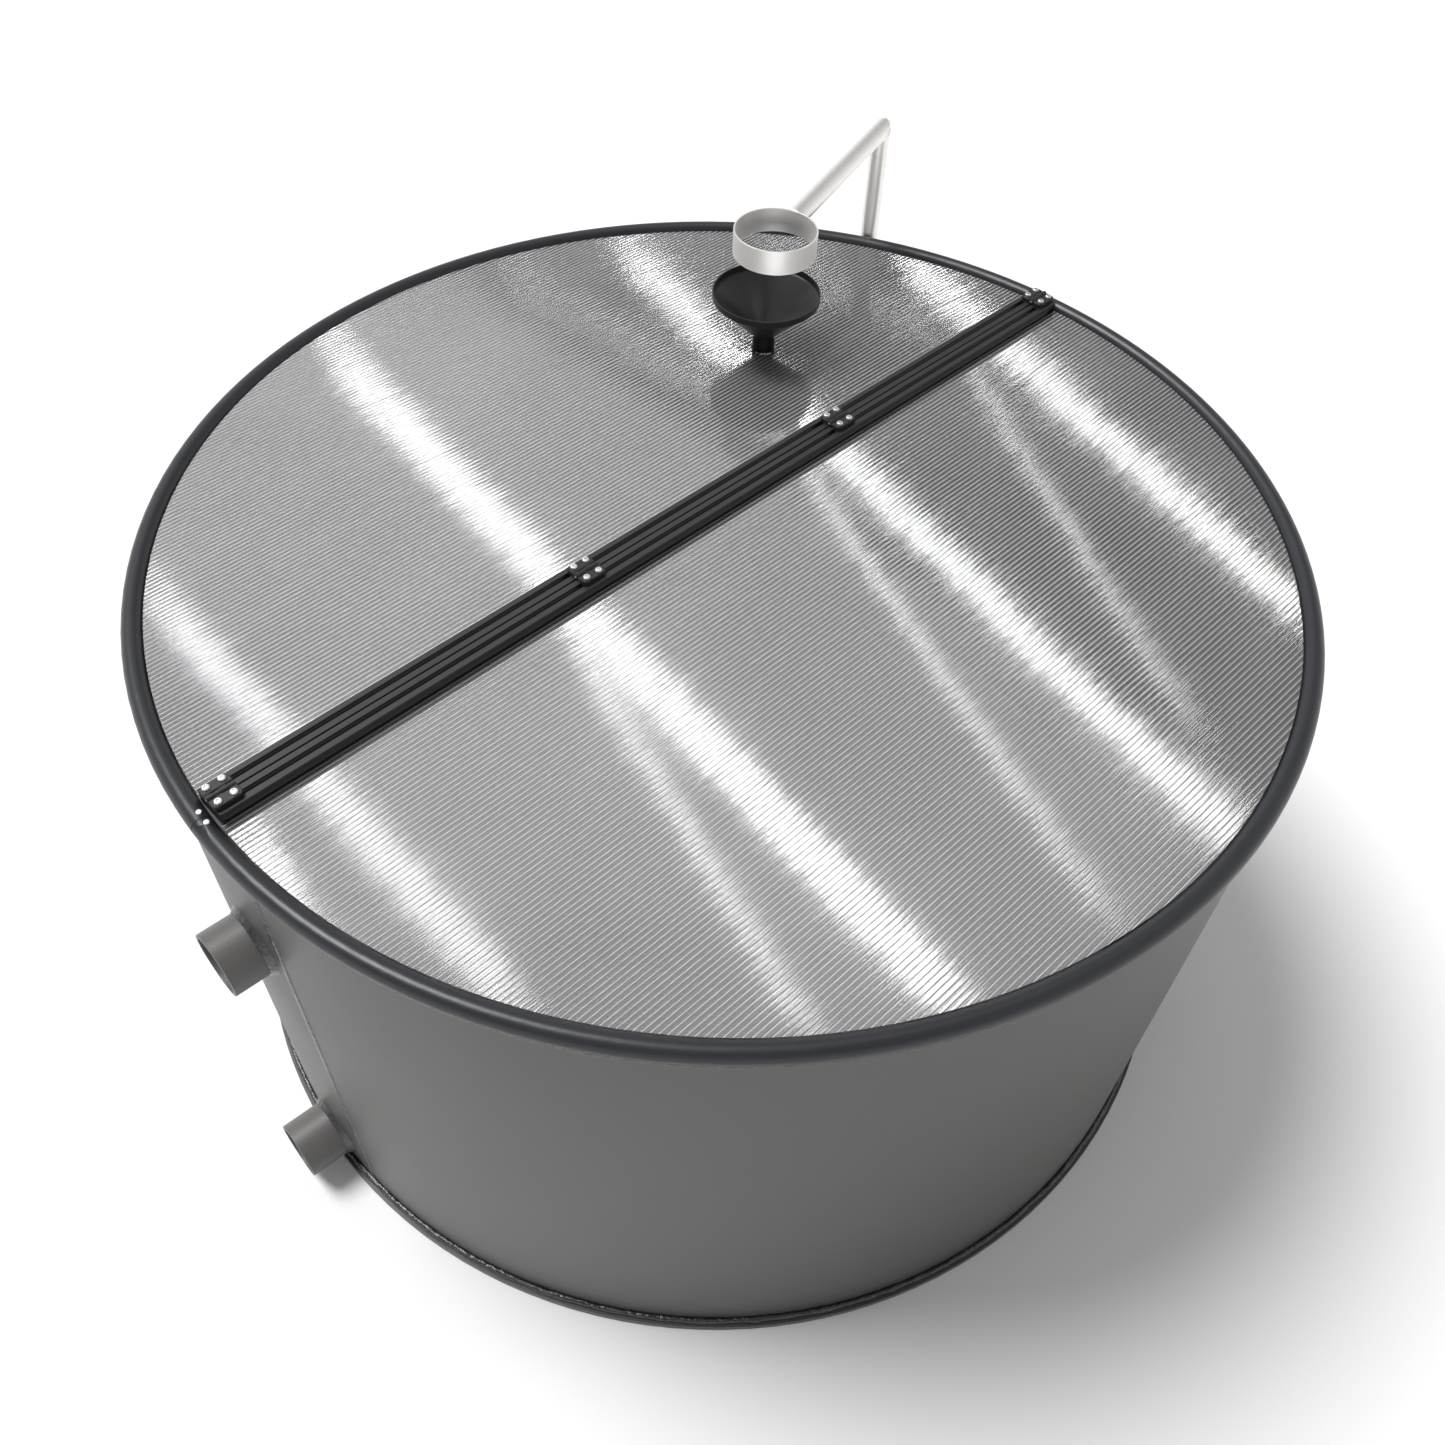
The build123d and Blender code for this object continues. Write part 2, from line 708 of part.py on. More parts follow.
def all_parts():
    """Every node by name."""
    parts = {
        "base_plate": base_plate(),
        "base_weld": base_weld(),
        "inner_base_weld": inner_base_weld(),
        "wall_shell": wall_shell(),
        "wall_seam": wall_seam(),
        "rim_bead": rim_bead(),
        "rim_weld": rim_weld(),
        "rim_screws": rim_screws(),
        "lid_ledge": lid_ledge(),
        "ledge_weld": ledge_weld(),
        "upper_stub": pipe_stub(upper_stub_angle, upper_stub_height, upper_stub_reach),
        "upper_stub_weld": stub_weld(upper_stub_angle, upper_stub_height),
        "lower_stub": pipe_stub(lower_stub_angle, lower_stub_height, lower_stub_reach),
        "lower_stub_weld": stub_weld(lower_stub_angle, lower_stub_height),
        "back_sheet": back_sheet(),
        "front_sheet": ribbed_sheet(FRONT),
        "bar_fixing_screws": bar_fixing_screws(),
        "bar_fixing_nuts": bar_fixing_nuts(),
        "hinge_pins": hinge_pins(),
        "upper_post_socket": post_socket(upper_socket_bottom, -1),
        "lower_post_socket": post_socket(lower_socket_bottom, socket_floor),
        "socket_welds": socket_welds(),
        "post_tube": post_tube(),
        "post_plug": post_plug(),
        "arm_tube": arm_tube(),
        "holder_ring": holder_ring(),
        "funnel": funnel(),
    }
    for name, side in (("front", FRONT), ("back", BACK)):
        parts[f"{name}_profile"] = slotted_profile(side)
        parts[f"{name}_end_caps"] = end_caps(side)
        parts[f"{name}_sheet_strip"] = sheet_strip(side)
        parts[f"{name}_strip_screws"] = strip_screws(side)
        parts[f"{name}_strip_nuts"] = strip_nuts(side)
        parts[f"{name}_hinge_screws"] = hinge_screws(side)
        parts[f"{name}_hinge_nuts"] = hinge_nuts(side)
        for index, place in enumerate(hinge_places, start=1):
            parts[f"{name}_hinge_leaf_{index}"] = hinge_leaf(side, place)
    return parts


os.makedirs("parts", exist_ok=True)
for node, shape in all_parts().items():
    solids = shape if isinstance(shape, list) else [shape]
    whole = Compound(children=solids) if len(solids) > 1 else solids[0]
    export_step(whole, f"parts/{node}.step")
    print(node, len(whole.solids()), round(whole.volume))
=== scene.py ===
# %% [markdown]
# # A round plastic tank with a ribbed clear lid
# The tank's shape comes ready made: each piece is a CAD node that rides on its own body.
# Here we give the pieces their finishes, add the small welds that a CAD model leaves out,
# and set up a camera, lights and a floor.

import json
import math

import bpy
from mathutils import Matrix, Vector


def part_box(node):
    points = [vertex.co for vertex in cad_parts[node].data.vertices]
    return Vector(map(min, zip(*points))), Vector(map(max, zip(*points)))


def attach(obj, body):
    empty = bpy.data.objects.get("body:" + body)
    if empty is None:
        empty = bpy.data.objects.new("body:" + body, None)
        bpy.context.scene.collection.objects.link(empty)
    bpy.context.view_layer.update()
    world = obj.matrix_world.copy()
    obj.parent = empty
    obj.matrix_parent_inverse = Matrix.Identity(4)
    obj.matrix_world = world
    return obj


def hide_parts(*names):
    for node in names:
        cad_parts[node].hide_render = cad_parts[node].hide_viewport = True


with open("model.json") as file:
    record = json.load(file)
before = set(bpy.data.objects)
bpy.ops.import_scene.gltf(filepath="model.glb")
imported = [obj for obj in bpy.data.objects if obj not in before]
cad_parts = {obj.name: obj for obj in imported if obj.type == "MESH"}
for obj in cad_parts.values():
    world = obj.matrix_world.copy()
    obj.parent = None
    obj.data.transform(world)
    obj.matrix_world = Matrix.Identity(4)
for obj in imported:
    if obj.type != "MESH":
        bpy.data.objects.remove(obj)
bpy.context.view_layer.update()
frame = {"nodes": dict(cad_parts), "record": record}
nodes = frame["nodes"]

# %% [markdown]
# ## Places and measures
# Everything is in metres. We read heights and edges from the nodes themselves, so a later
# change to the tank moves our pieces too.

# %% Read the tank's own measures
ring_low, ring_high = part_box("holder_ring")
ring_middle = (ring_low + ring_high) / 2
ring_radius = (ring_high.x - ring_low.x) / 2
_, post_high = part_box("post_tube")
arm_low, arm_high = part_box("arm_tube")
funnel_low, funnel_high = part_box("funnel")
funnel_middle = (funnel_low + funnel_high) / 2
_, sheet_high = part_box("back_sheet")
_, base_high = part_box("base_plate")
tube_radius = (arm_high.z - arm_low.z) / 2
post_top = Vector((post_high.x - tube_radius, post_high.y - tube_radius, arm_high.z - tube_radius))
lid_top = sheet_high.z
print("lid top", round(lid_top, 4), "tube radius", round(tube_radius, 4), "post top", post_top)

# %% [markdown]
# ## Camera
# The tank is looked at from above its left front, with a lens a little wider than normal.
# A camera looks along its own -Z axis, so we give the directions of its right, up and back.

# %% Make the camera
CAMERA_PLACE = Vector((-0.8340, -0.8139, 1.7507))
CAMERA_RIGHT = Vector((0.719836, -0.693557, 0.028615))
CAMERA_UP = Vector((0.515913, 0.562131, 0.646409))
CAMERA_BACK = Vector((-0.464407, -0.450545, 0.762454))
LENS_MM = 33.66

camera_data = bpy.data.cameras.new("camera")
camera_data.lens = LENS_MM
camera_data.sensor_width = 36.0
camera_data.clip_start = 0.02
camera = bpy.data.objects.new("camera", camera_data)
bpy.context.scene.collection.objects.link(camera)
turn = Matrix((CAMERA_RIGHT, CAMERA_UP, CAMERA_BACK)).transposed()
camera.matrix_world = Matrix.Translation(CAMERA_PLACE) @ turn.to_4x4()
bpy.context.scene.camera = camera
print("camera at", CAMERA_PLACE)

# %% [markdown]
# ## Shader maths
# A finish is a small network of nodes. Joining maths nodes by hand is slow to read, so the
# class below holds one socket and lets us write `grain * 0.2 + 0.4`. Its method `node` adds
# any other node: first its settings, then its sockets.

# %% A socket that can be added and multiplied
class Flow:
    """One output socket of a material. Sums written with it become Math nodes."""

    def __init__(self, tree, socket=None):
        self.tree = tree
        self.socket = socket

    def node(self, kind, settings=None, sockets=None, output=0):
        made = self.tree.nodes.new(kind)
        for name, value in (settings or {}).items():
            setattr(made, name, value)
        for name, value in (sockets or {}).items():
            if isinstance(value, Flow):
                self.tree.links.new(value.socket, made.inputs[name])
            else:
                made.inputs[name].default_value = value
        return Flow(self.tree, made.outputs[output] if len(made.outputs) else None)

    def maths(self, operation, first, second):
        return self.node("ShaderNodeMath", {"operation": operation}, {0: first, 1: second})

    def __add__(self, other):
        return self.maths("ADD", self, other)

    def __radd__(self, other):
        return self.maths("ADD", other, self)

    def __sub__(self, other):
        return self.maths("SUBTRACT", self, other)

    def __rsub__(self, other):
        return self.maths("SUBTRACT", other, self)

    def __mul__(self, other):
        return self.maths("MULTIPLY", self, other)

    def __rmul__(self, other):
        return self.maths("MULTIPLY", other, self)


# %% [markdown]
# ## Helpers for finishes
# Every finish starts the same way: a Principled shader, and the Object coordinates, which
# are metres in the tank's own frame. `noise` is the pattern we use most. Its scale is how
# many spots there are in a metre, and a stretch makes the spots long along one axis.

# %% Start a finish, and the patterns that finishes share
def start_finish(name, **fixed):
    """A new material, a Flow to add nodes with, and its Principled shader."""
    material = bpy.data.materials.new(name)
    material.use_nodes = True
    shader = material.node_tree.nodes["Principled BSDF"]
    for socket, value in fixed.items():
        shader.inputs[socket.replace("_", " ")].default_value = value
    flow = Flow(material.node_tree)
    place = flow.node("ShaderNodeTexCoord", output="Object")
    return material, place, shader


NOISE_CRISPNESS = 0.6


def noise(place, scale, stretch=(1.0, 1.0, 1.0), turn=(0.0, 0.0, 0.0), detail=3.0):
    mapped = place.node("ShaderNodeMapping", None, {"Vector": place, "Scale": stretch, "Rotation": turn})
    sockets = {"Vector": mapped, "Scale": scale, "Detail": detail, "Roughness": NOISE_CRISPNESS}
    return place.node("ShaderNodeTexNoise", None, sockets)


def mixed(mask, first, second):
    """Two colours, or links to colours, mixed by a mask."""
    return mask.node("ShaderNodeMix", {"data_type": "RGBA"}, {0: mask, 6: first, 7: second}, output=2)


def tint(mask, dark, light):
    return mixed(mask, (*dark, 1.0), (*light, 1.0))


def wire(flow, shader, socket):
    flow.tree.links.new(flow.socket, shader.inputs[socket])


def wire_bump(height, shader, depth, strength=1.0):
    """Height is 0 to 1, and depth is how deep that is in metres."""
    sockets = {"Height": height, "Distance": depth, "Strength": strength}
    wire(height.node("ShaderNodeBump", None, sockets), shader, "Normal")


def soft_step(mask, low, high):
    """Stretches the part of a pattern between low and high over 0 to 1."""
    return mask.node(
        "ShaderNodeMapRange",
        {"interpolation_type": "SMOOTHSTEP"},
        {"Value": mask, "From Min": low, "From Max": high},
    )


print("finish helpers ready")

# %% [markdown]
# ## Welded sheet
# The wall, base and stubs are dark grey sheet with a satin skin. The colour drifts a little
# over a hand's width, and the skin has a very fine grain, which spreads the highlights.

# %% Tank plastic
SHEET_DARK = (0.066, 0.064, 0.062)
SHEET_LIGHT = (0.076, 0.0735, 0.071)
DRIFT_PER_METRE, GRAIN_PER_METRE = 5.0, 900.0
# The stubs are the same sheet as the wall, painted lighter: painted light.
STUB_PAINTED_LIGHTER_DARK, STUB_PAINTED_LIGHTER_LIGHT = (0.115, 0.111, 0.109), (0.140, 0.136, 0.133)


def satin_sheet(name, dark, light, gloss):
    material, place, shader = start_finish(name, Specular_IOR_Level=0.45)
    drift = soft_step(noise(place, DRIFT_PER_METRE), 0.3, 0.7)
    grain = noise(place, GRAIN_PER_METRE, detail=2.0)
    wire(tint(drift, dark, light), shader, "Base Color")
    wire(grain * 0.10 + drift * 0.04 + gloss, shader, "Roughness")
    wire_bump(grain, shader, 0.00008)
    return material


tank_plastic = satin_sheet("tank_plastic", SHEET_DARK, SHEET_LIGHT, 0.36)
# Painted light: the stubs' copy of the sheet is lighter than the wall's, so they look brighter.
stub_plastic_painted_lighter = satin_sheet("stub_plastic_painted_lighter", STUB_PAINTED_LIGHTER_DARK, STUB_PAINTED_LIGHTER_LIGHT, 0.34)
socket_plastic = satin_sheet("socket_plastic", SHEET_DARK, SHEET_LIGHT, 0.42)
print("made", tank_plastic.name, socket_plastic.name)

# %% [markdown]
# ## Rim bead
# The bead is bent round bar, smoother and nearly black, so it shows one long bluish
# highlight. Bending leaves faint marks across it, drawn here as noise squeezed in height.

# %% Rim plastic
def rim_finish():
    material, place, shader = start_finish("rim_plastic", Specular_IOR_Level=0.42)
    marks = noise(place, 60.0, stretch=(1.0, 1.0, 6.0))
    dust = soft_step(noise(place, 700.0, detail=4.0), 0.62, 0.75)
    wire(tint(dust * 0.35, (0.022, 0.023, 0.028), (0.09, 0.092, 0.10)), shader, "Base Color")
    wire(marks * 0.12 + dust * 0.1 + 0.30, shader, "Roughness")
    wire_bump(marks, shader, 0.0002)
    return material


rim_plastic = rim_finish()
print("made", rim_plastic.name)

# %% [markdown]
# ## Weld beads
# A hot air weld is a line of melted rod. It is glossier than the sheet, and it has ripples
# where the hand moved on. Two sizes of noise give the ripples and the small pits.

# %% Weld plastic
def weld_finish():
    material, place, shader = start_finish("weld_plastic", Specular_IOR_Level=0.8)
    ripple = noise(place, 110.0, detail=1.0)
    pits = noise(place, 520.0)
    wire(tint(ripple, (0.010, 0.010, 0.011), (0.045, 0.045, 0.048)), shader, "Base Color")
    wire(pits * 0.2 + 0.08, shader, "Roughness")
    wire_bump(ripple * 0.8 + pits * 0.2, shader, 0.003)
    return material


weld_plastic = weld_finish()
print("made", weld_plastic.name)

# %% [markdown]
# ## The clear ribbed sheet
# The lid is hollow sheet: two thin skins with a rib between them every few millimetres.
# Light passes through, so each skin and rib lets most of it by, and they add up where the
# view crosses more of them. Between two ribs the skin sags a little. That is far too small
# to see as a shape, but each channel becomes a long shallow mirror, and a lamp is broken up
# into one short bright band per channel. A Bump node is too coarse for something so fine,
# so we work the slope out from the distance to the nearest rib and tilt the surface's own
# normal by it.

# %% Where a point lies between two ribs
RIB_PITCH = 0.0056
RIB_SHARE = 0.13
_, bar_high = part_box("back_profile")
front_low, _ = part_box("front_profile")
BAR_MIDDLE = (front_low.y + bar_high.y) / 2
BAR_HALF_WIDTH = (bar_high.y - front_low.y) / 2


def channel_count(place):
    """How many channels a point is from the hinge bar: 2.5 is the middle of the third."""
    across = place.node("ShaderNodeSeparateXYZ", None, {"Vector": place}, output="Y")
    from_bar = place.node("ShaderNodeMath", {"operation": "ABSOLUTE"}, {0: across - BAR_MIDDLE})
    return (from_bar - BAR_HALF_WIDTH) * (1 / RIB_PITCH)


def part_of(mask, operation):
    return mask.node("ShaderNodeMath", {"operation": operation}, {0: mask})


print("bar middle", round(BAR_MIDDLE, 4), "half width", round(BAR_HALF_WIDTH, 4))

# %% Clear sheet
SAG_SLOPE = 0.030
CHANNEL_TILT = 0.006
CHANNEL_SWAY = 0.004
SKIN_COVER, INNER_COVER = 0.42, 0.08
TOP_SKIN_DEPTH = 0.0003
CLEAR_DARK, CLEAR_LIGHT = (0.13, 0.13, 0.13), (0.18, 0.18, 0.18)
# Painted shade for the ribs, and a painted highlight on one edge of each channel.
RIB_PAINTED_SHADE, EDGE_PAINTED_HIGHLIGHT = (0.010, 0.010, 0.012, 1.0), (0.85, 0.86, 0.88, 1.0)


def own_random(count, seed):
    """A random number that stays the same all along one channel."""
    return count.node(
        "ShaderNodeTexWhiteNoise", {"noise_dimensions": "1D"}, {"W": part_of(count, "FLOOR") + seed}
    )


def clear_sheet_finish():
    material, place, shader = start_finish("clear_sheet", Specular_IOR_Level=1.0, IOR=1.58)
    count = channel_count(place)
    within = part_of(count, "FRACT")
    sweep = noise(place, 2.2, stretch=(1.0, 2.0, 1.0), detail=1.0) - 0.5
    tilt = (own_random(count, 0.5) - 0.5) * CHANNEL_TILT
    slope = (within - 0.5) * (2 * SAG_SLOPE) + tilt + sweep * 0.03
    sway = (own_random(count, 7.5) - 0.5) * CHANNEL_SWAY + sweep * 0.004
    across_ribs = place.node("ShaderNodeCombineXYZ", None, {"X": sway, "Y": slope})
    faces = place.node("ShaderNodeTexCoord", output="Normal")
    tilted = place.node("ShaderNodeVectorMath", {"operation": "ADD"}, {0: faces, 1: across_ribs})
    normal = place.node(
        "ShaderNodeVectorTransform",
        {"vector_type": "NORMAL", "convert_from": "OBJECT", "convert_to": "WORLD"},
        {"Vector": tilted},
    )
    wire(normal, shader, "Normal")
    # The top skin carries the pattern. What lies under it only adds a little haze.
    height = place.node("ShaderNodeSeparateXYZ", None, {"Vector": place}, output="Z")
    on_top = height.maths("GREATER_THAN", height, lid_top - TOP_SKIN_DEPTH)
    to_rib = part_of((within - 0.5) * 2.0, "ABSOLUTE")
    # Each rib on the top skin is painted near black: painted shade, the dark line where a rib breaks the
    # lamps' reflection. It is also rougher and less clear.
    rib = soft_step(to_rib, 1.0 - 2 * RIB_SHARE, 1.0 - RIB_SHARE) * on_top
    # A white band near one side of each channel is a painted highlight, where the channel's edge catches
    # the lamps; the band is also a little less clear.
    painted_edge_highlight = soft_step(within, 0.13, 0.18) * (1.0 - soft_step(within, 0.26, 0.32)) * on_top
    haze = soft_step(noise(place, 2.0), 0.3, 0.7)
    edged = mixed(painted_edge_highlight * 0.7, tint(haze, CLEAR_DARK, CLEAR_LIGHT), EDGE_PAINTED_HIGHLIGHT)
    wire(mixed(rib, edged, RIB_PAINTED_SHADE), shader, "Base Color")
    wire(rib * 0.50 + (1.0 - on_top) * 0.35 + haze * 0.03 + 0.07, shader, "Roughness")
    skin = on_top * (SKIN_COVER - INNER_COVER) + INNER_COVER
    wire(skin + rib * 0.42 + painted_edge_highlight * 0.20 + haze * 0.06, shader, "Alpha")
    return material


clear_sheet = clear_sheet_finish()
print("made", clear_sheet.name, "rib pitch", RIB_PITCH)

# %% [markdown]
# ## Metals
# Brushing leaves fine lines along the tube, and across them a highlight is wide. We draw the
# lines with noise that is very long along the brushing: upright on the post, along the arm,
# and round the ring, whose lines are level.

# %% Steel, aluminium and screws
ARM_TURN = math.atan2(ring_middle.y - post_top.y, ring_middle.x - post_top.x)
# Below 1, because a scratched skin also scatters light like a matt one.
METAL_SHARE = 0.82


def brushed(name, colour, stretch, turn=(0.0, 0.0, 0.0), gloss=0.22, scratch=0.25):
    material, place, shader = start_finish(name, Metallic=METAL_SHARE)
    lines = noise(place, 1.0, stretch=stretch, turn=turn, detail=4.0)
    smears = noise(place, 25.0)
    dark = tuple(c * 0.80 for c in colour)
    wire(tint(lines, dark, colour), shader, "Base Color")
    wire(lines * scratch + smears * 0.08 + gloss, shader, "Roughness")
    wire_bump(lines, shader, 0.00006)
    return material


STEEL = (0.92, 0.895, 0.87)
steel_post = brushed("steel_post", STEEL, (1800.0, 1800.0, 12.0))
steel_arm = brushed("steel_arm", STEEL, (12.0, 1800.0, 1800.0), turn=(0.0, 0.0, -ARM_TURN))
steel_ring = brushed("steel_ring", STEEL, (10.0, 10.0, 2200.0), gloss=0.26)
screw_steel = brushed("screw_steel", (0.82, 0.83, 0.84), (600.0, 600.0, 600.0), gloss=0.2)
strip_aluminium = brushed("strip_aluminium", (0.55, 0.56, 0.57), (14.0, 1500.0, 1500.0), gloss=0.3)
print("made", steel_post.name, steel_arm.name, steel_ring.name)

# %% [markdown]
# ## Black finishes
# Anodised profiles are satin and very dark, with fine lines from the press along X. The
# hinges and caps are moulded nylon with an even grain. The funnel is half gloss, and its
# mould left soft streaks down the cone.

# %% Anodised, nylon and moulded plastic
def anodised():
    material, place, shader = start_finish("black_aluminium", Specular_IOR_Level=0.6)
    lines = noise(place, 1.0, stretch=(5.0, 1600.0, 1600.0), detail=2.0)
    wire(tint(lines, (0.012, 0.012, 0.013), (0.030, 0.030, 0.031)), shader, "Base Color")
    wire(lines * 0.15 + 0.27, shader, "Roughness")
    wire_bump(lines, shader, 0.00005)
    return material


def moulded(name, dark, light, gloss, grain_depth):
    material, place, shader = start_finish(name, Specular_IOR_Level=0.5)
    grain = noise(place, 1500.0, detail=2.0)
    wear = soft_step(noise(place, 90.0), 0.55, 0.8)
    wire(tint(wear, dark, light), shader, "Base Color")
    wire(grain * 0.15 + wear * 0.08 + gloss, shader, "Roughness")
    wire_bump(grain, shader, grain_depth)
    return material


black_aluminium = anodised()
hinge_nylon = moulded("hinge_nylon", (0.012, 0.012, 0.0125), (0.024, 0.024, 0.025), 0.38, 0.00012)
cap_plastic = moulded("cap_plastic", (0.010, 0.010, 0.010), (0.020, 0.020, 0.020), 0.42, 0.0001)
print("made", black_aluminium.name, hinge_nylon.name, cap_plastic.name)


# %% Funnel plastic
STREAKS_ROUND = 3.0


def funnel_finish():
    material, place, shader = start_finish("funnel_plastic", Specular_IOR_Level=0.32)
    centred = place.node(
        "ShaderNodeVectorMath",
        {"operation": "SUBTRACT"},
        {0: place, 1: (funnel_middle.x, funnel_middle.y, 0.0)},
    )
    parts = {axis: place.node("ShaderNodeSeparateXYZ", None, {0: centred}, output=axis) for axis in "XY"}
    angle = place.node("ShaderNodeMath", {"operation": "ARCTAN2"}, {0: parts["Y"], 1: parts["X"]})
    round_about = place.node("ShaderNodeCombineXYZ", None, {"X": angle})
    streak_sockets = {"Vector": round_about, "Scale": STREAKS_ROUND, "Detail": 4.0}
    streaks = place.node("ShaderNodeTexNoise", None, streak_sockets)
    grain = noise(place, 1200.0, detail=2.0)
    wire(tint(streaks, (0.014, 0.0145, 0.015), (0.036, 0.036, 0.038)), shader, "Base Color")
    wire(streaks * 0.22 + grain * 0.06 + 0.20, shader, "Roughness")
    wire_bump(grain * 0.3 + streaks * 0.7, shader, 0.0001)
    return material


funnel_plastic = funnel_finish()
print("made", funnel_plastic.name)

# %% [markdown]
# ## Dress the nodes
# A node's name tells what it is, and the record says which finish it has. The steel has
# three versions, because the brushing runs another way on each tube. The pipe stubs get a
# lighter copy of the wall's plastic: painted light, which makes them brighter than the wall.

# %% Give each node its finish
FINISHES = {
    "tank_plastic": tank_plastic,
    "rim_plastic": rim_plastic,
    "weld_plastic": weld_plastic,
    "clear_sheet": clear_sheet,
    "black_aluminium": black_aluminium,
    "strip_aluminium": strip_aluminium,
    "hinge_nylon": hinge_nylon,
    "screw_steel": screw_steel,
    "stainless": steel_post,
    "cap_plastic": cap_plastic,
    "socket_plastic": socket_plastic,
    "funnel_plastic": funnel_plastic,
}
OWN_FINISHES = {
    "arm_tube": steel_arm,
    "holder_ring": steel_ring,
    "upper_stub": stub_plastic_painted_lighter,
    "lower_stub": stub_plastic_painted_lighter,
}

for part in frame["record"]["subparts"]:
    node = nodes[part["node"]]
    finish = OWN_FINISHES.get(node.name, FINISHES[part["material_slot"]])
    node.data.materials.clear()
    node.data.materials.append(finish)

# %% [markdown]
# ## Rippled weld beads
# The CAD welds are smooth. A real bead has ripples, and its glints show that it was laid by
# hand. We start from a torus of the bead's size, push its points in and out with a cloudy
# texture in a Displace modifier, and apply the modifier. The same helper makes the rope in
# the corner of the base, the steel beads on the arm, and the melted edge round the funnel's
# hole. It works at the origin first, so a stretch or a turn can't slide the bead away.

# %% A helper for beads
def weld_bead(name, place, turn, radius, thickness, squash, ripple, depth, parts=(96, 12)):
    """A rippled ring. Turn is a 3 x 3 matrix, squash scales the ring along its own axes."""
    bpy.ops.object.select_all(action="DESELECT")
    bpy.ops.mesh.primitive_torus_add(
        major_radius=radius, minor_radius=thickness, major_segments=parts[0], minor_segments=parts[1]
    )
    bead = bpy.context.object
    bead.name = name
    bpy.ops.transform.resize(value=squash)
    bpy.ops.object.transform_apply(location=False, rotation=False, scale=True)
    clouds = bpy.data.textures.new(name, "CLOUDS")
    clouds.noise_scale = ripple
    bulge = bead.modifiers.new("ripple", "DISPLACE")
    bulge.texture = clouds
    bulge.texture_coords = "LOCAL"
    bulge.strength = depth
    bpy.ops.object.modifier_apply(modifier=bulge.name)
    bead.matrix_world = Matrix.Translation(place) @ turn.to_4x4()
    bpy.ops.object.transform_apply(location=True, rotation=True, scale=True)
    bpy.ops.object.shade_smooth()
    print(name, len(bead.data.polygons), "faces")
    return bead


def dress(bead, body, finish):
    bead.data.materials.append(finish)
    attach(bead, body)


# %% The rope in the corner of the base
_, wall_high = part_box("wall_shell")
ROPE_THICKNESS, ROPE_ABOVE_BASE, ROPE_BEYOND_WALL = 0.0042, 0.0030, 0.0026
base_rope = weld_bead(
    "base_rope",
    Vector((0, 0, base_high.z + ROPE_ABOVE_BASE)),
    Matrix.Identity(3),
    radius=wall_high.x + ROPE_BEYOND_WALL,
    thickness=ROPE_THICKNESS,
    squash=(1.0, 1.0, 1.0),
    ripple=0.014,
    depth=0.0045,
    parts=(1100, 10),
)
dress(base_rope, "tank", weld_plastic)
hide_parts("base_weld")

# %% Steel beads on the mitre and where the arm meets the ring
along = Vector((ring_middle.x - post_top.x, ring_middle.y - post_top.y, 0)).normalized()
upward = Vector((0, 0, 1))
sideways = upward.cross(along)
steep = (upward - along).normalized()
mitre_turn = Matrix((steep, sideways, steep.cross(sideways))).transposed()
mitre_bead = weld_bead(
    "mitre_bead",
    post_top,
    mitre_turn,
    radius=tube_radius,
    thickness=0.0009,
    squash=(math.sqrt(2), 1.0, 1.0),
    ripple=0.0022,
    depth=0.0008,
)
dress(mitre_bead, "swing_arm", steel_ring)

ring_turn = Matrix((upward, sideways, upward.cross(sideways))).transposed()
ring_edge = Vector((ring_middle.x, ring_middle.y, post_top.z)) - along * ring_radius
ring_bead = weld_bead(
    "ring_bead",
    ring_edge,
    ring_turn,
    radius=tube_radius + 0.0004,
    thickness=0.0015,
    squash=(0.94, 1.0, 1.0),
    ripple=0.0025,
    depth=0.0010,
)
dress(ring_bead, "swing_arm", steel_ring)

# %% [markdown]
# ## The sawn edge of the hole
# The hole for the funnel was cut by hand, which left bright chips of clear plastic round it.
# A thin, deeply rippled ring with few segments gives sharp glassy crumbs.

# %% Chips round the hole
CRUMB_DARK, CRUMB_BRIGHT = (0.03, 0.03, 0.032), (0.95, 0.95, 0.96)


def chip_finish():
    material, place, shader = start_finish("sawn_edge", Specular_IOR_Level=1.0, IOR=1.58)
    crumbs = noise(place, 420.0, detail=2.0)
    bright = soft_step(crumbs, 0.42, 0.6)
    wire(tint(bright, CRUMB_DARK, CRUMB_BRIGHT), shader, "Base Color")
    wire(crumbs * 0.2 + 0.02, shader, "Roughness")
    wire_bump(crumbs, shader, 0.001)
    return material


HOLE_RADIUS = 0.0152
sawn_edge = weld_bead(
    "sawn_edge",
    Vector((funnel_middle.x, funnel_middle.y, lid_top)),
    Matrix.Identity(3),
    radius=HOLE_RADIUS,
    thickness=0.0010,
    squash=(1.0, 1.0, 0.9),
    ripple=0.0018,
    depth=0.0022,
    parts=(110, 6),
)
bpy.ops.object.shade_flat()
dress(sawn_edge, "tank", chip_finish())

# %% [markdown]
# ## Floor and soft light
# The tank stands on a plain pale floor. A very soft sun, high behind it on the left, throws
# the soft shadow to the right and towards us. The world is a pale room: its light changes
# slowly with direction, because steel shows nothing if all around it is the same.

# %% Floor, world and sun
FLOOR_SIZE = 60.0
FLOOR_COLOUR = (0.91, 0.91, 0.91)
ROOM_DIM, ROOM_BRIGHT = 0.20, 0.70
HORIZON_BRIGHT = 1.0
PLAIN_BELOW_TO = (0.04, 0.32)
SUN_FROM = Vector((-0.22, 0.46, 1.0))
SUN_STRENGTH = 2.8
SHINE_STRENGTH = 3.0
SUN_ANGLE = math.radians(26)

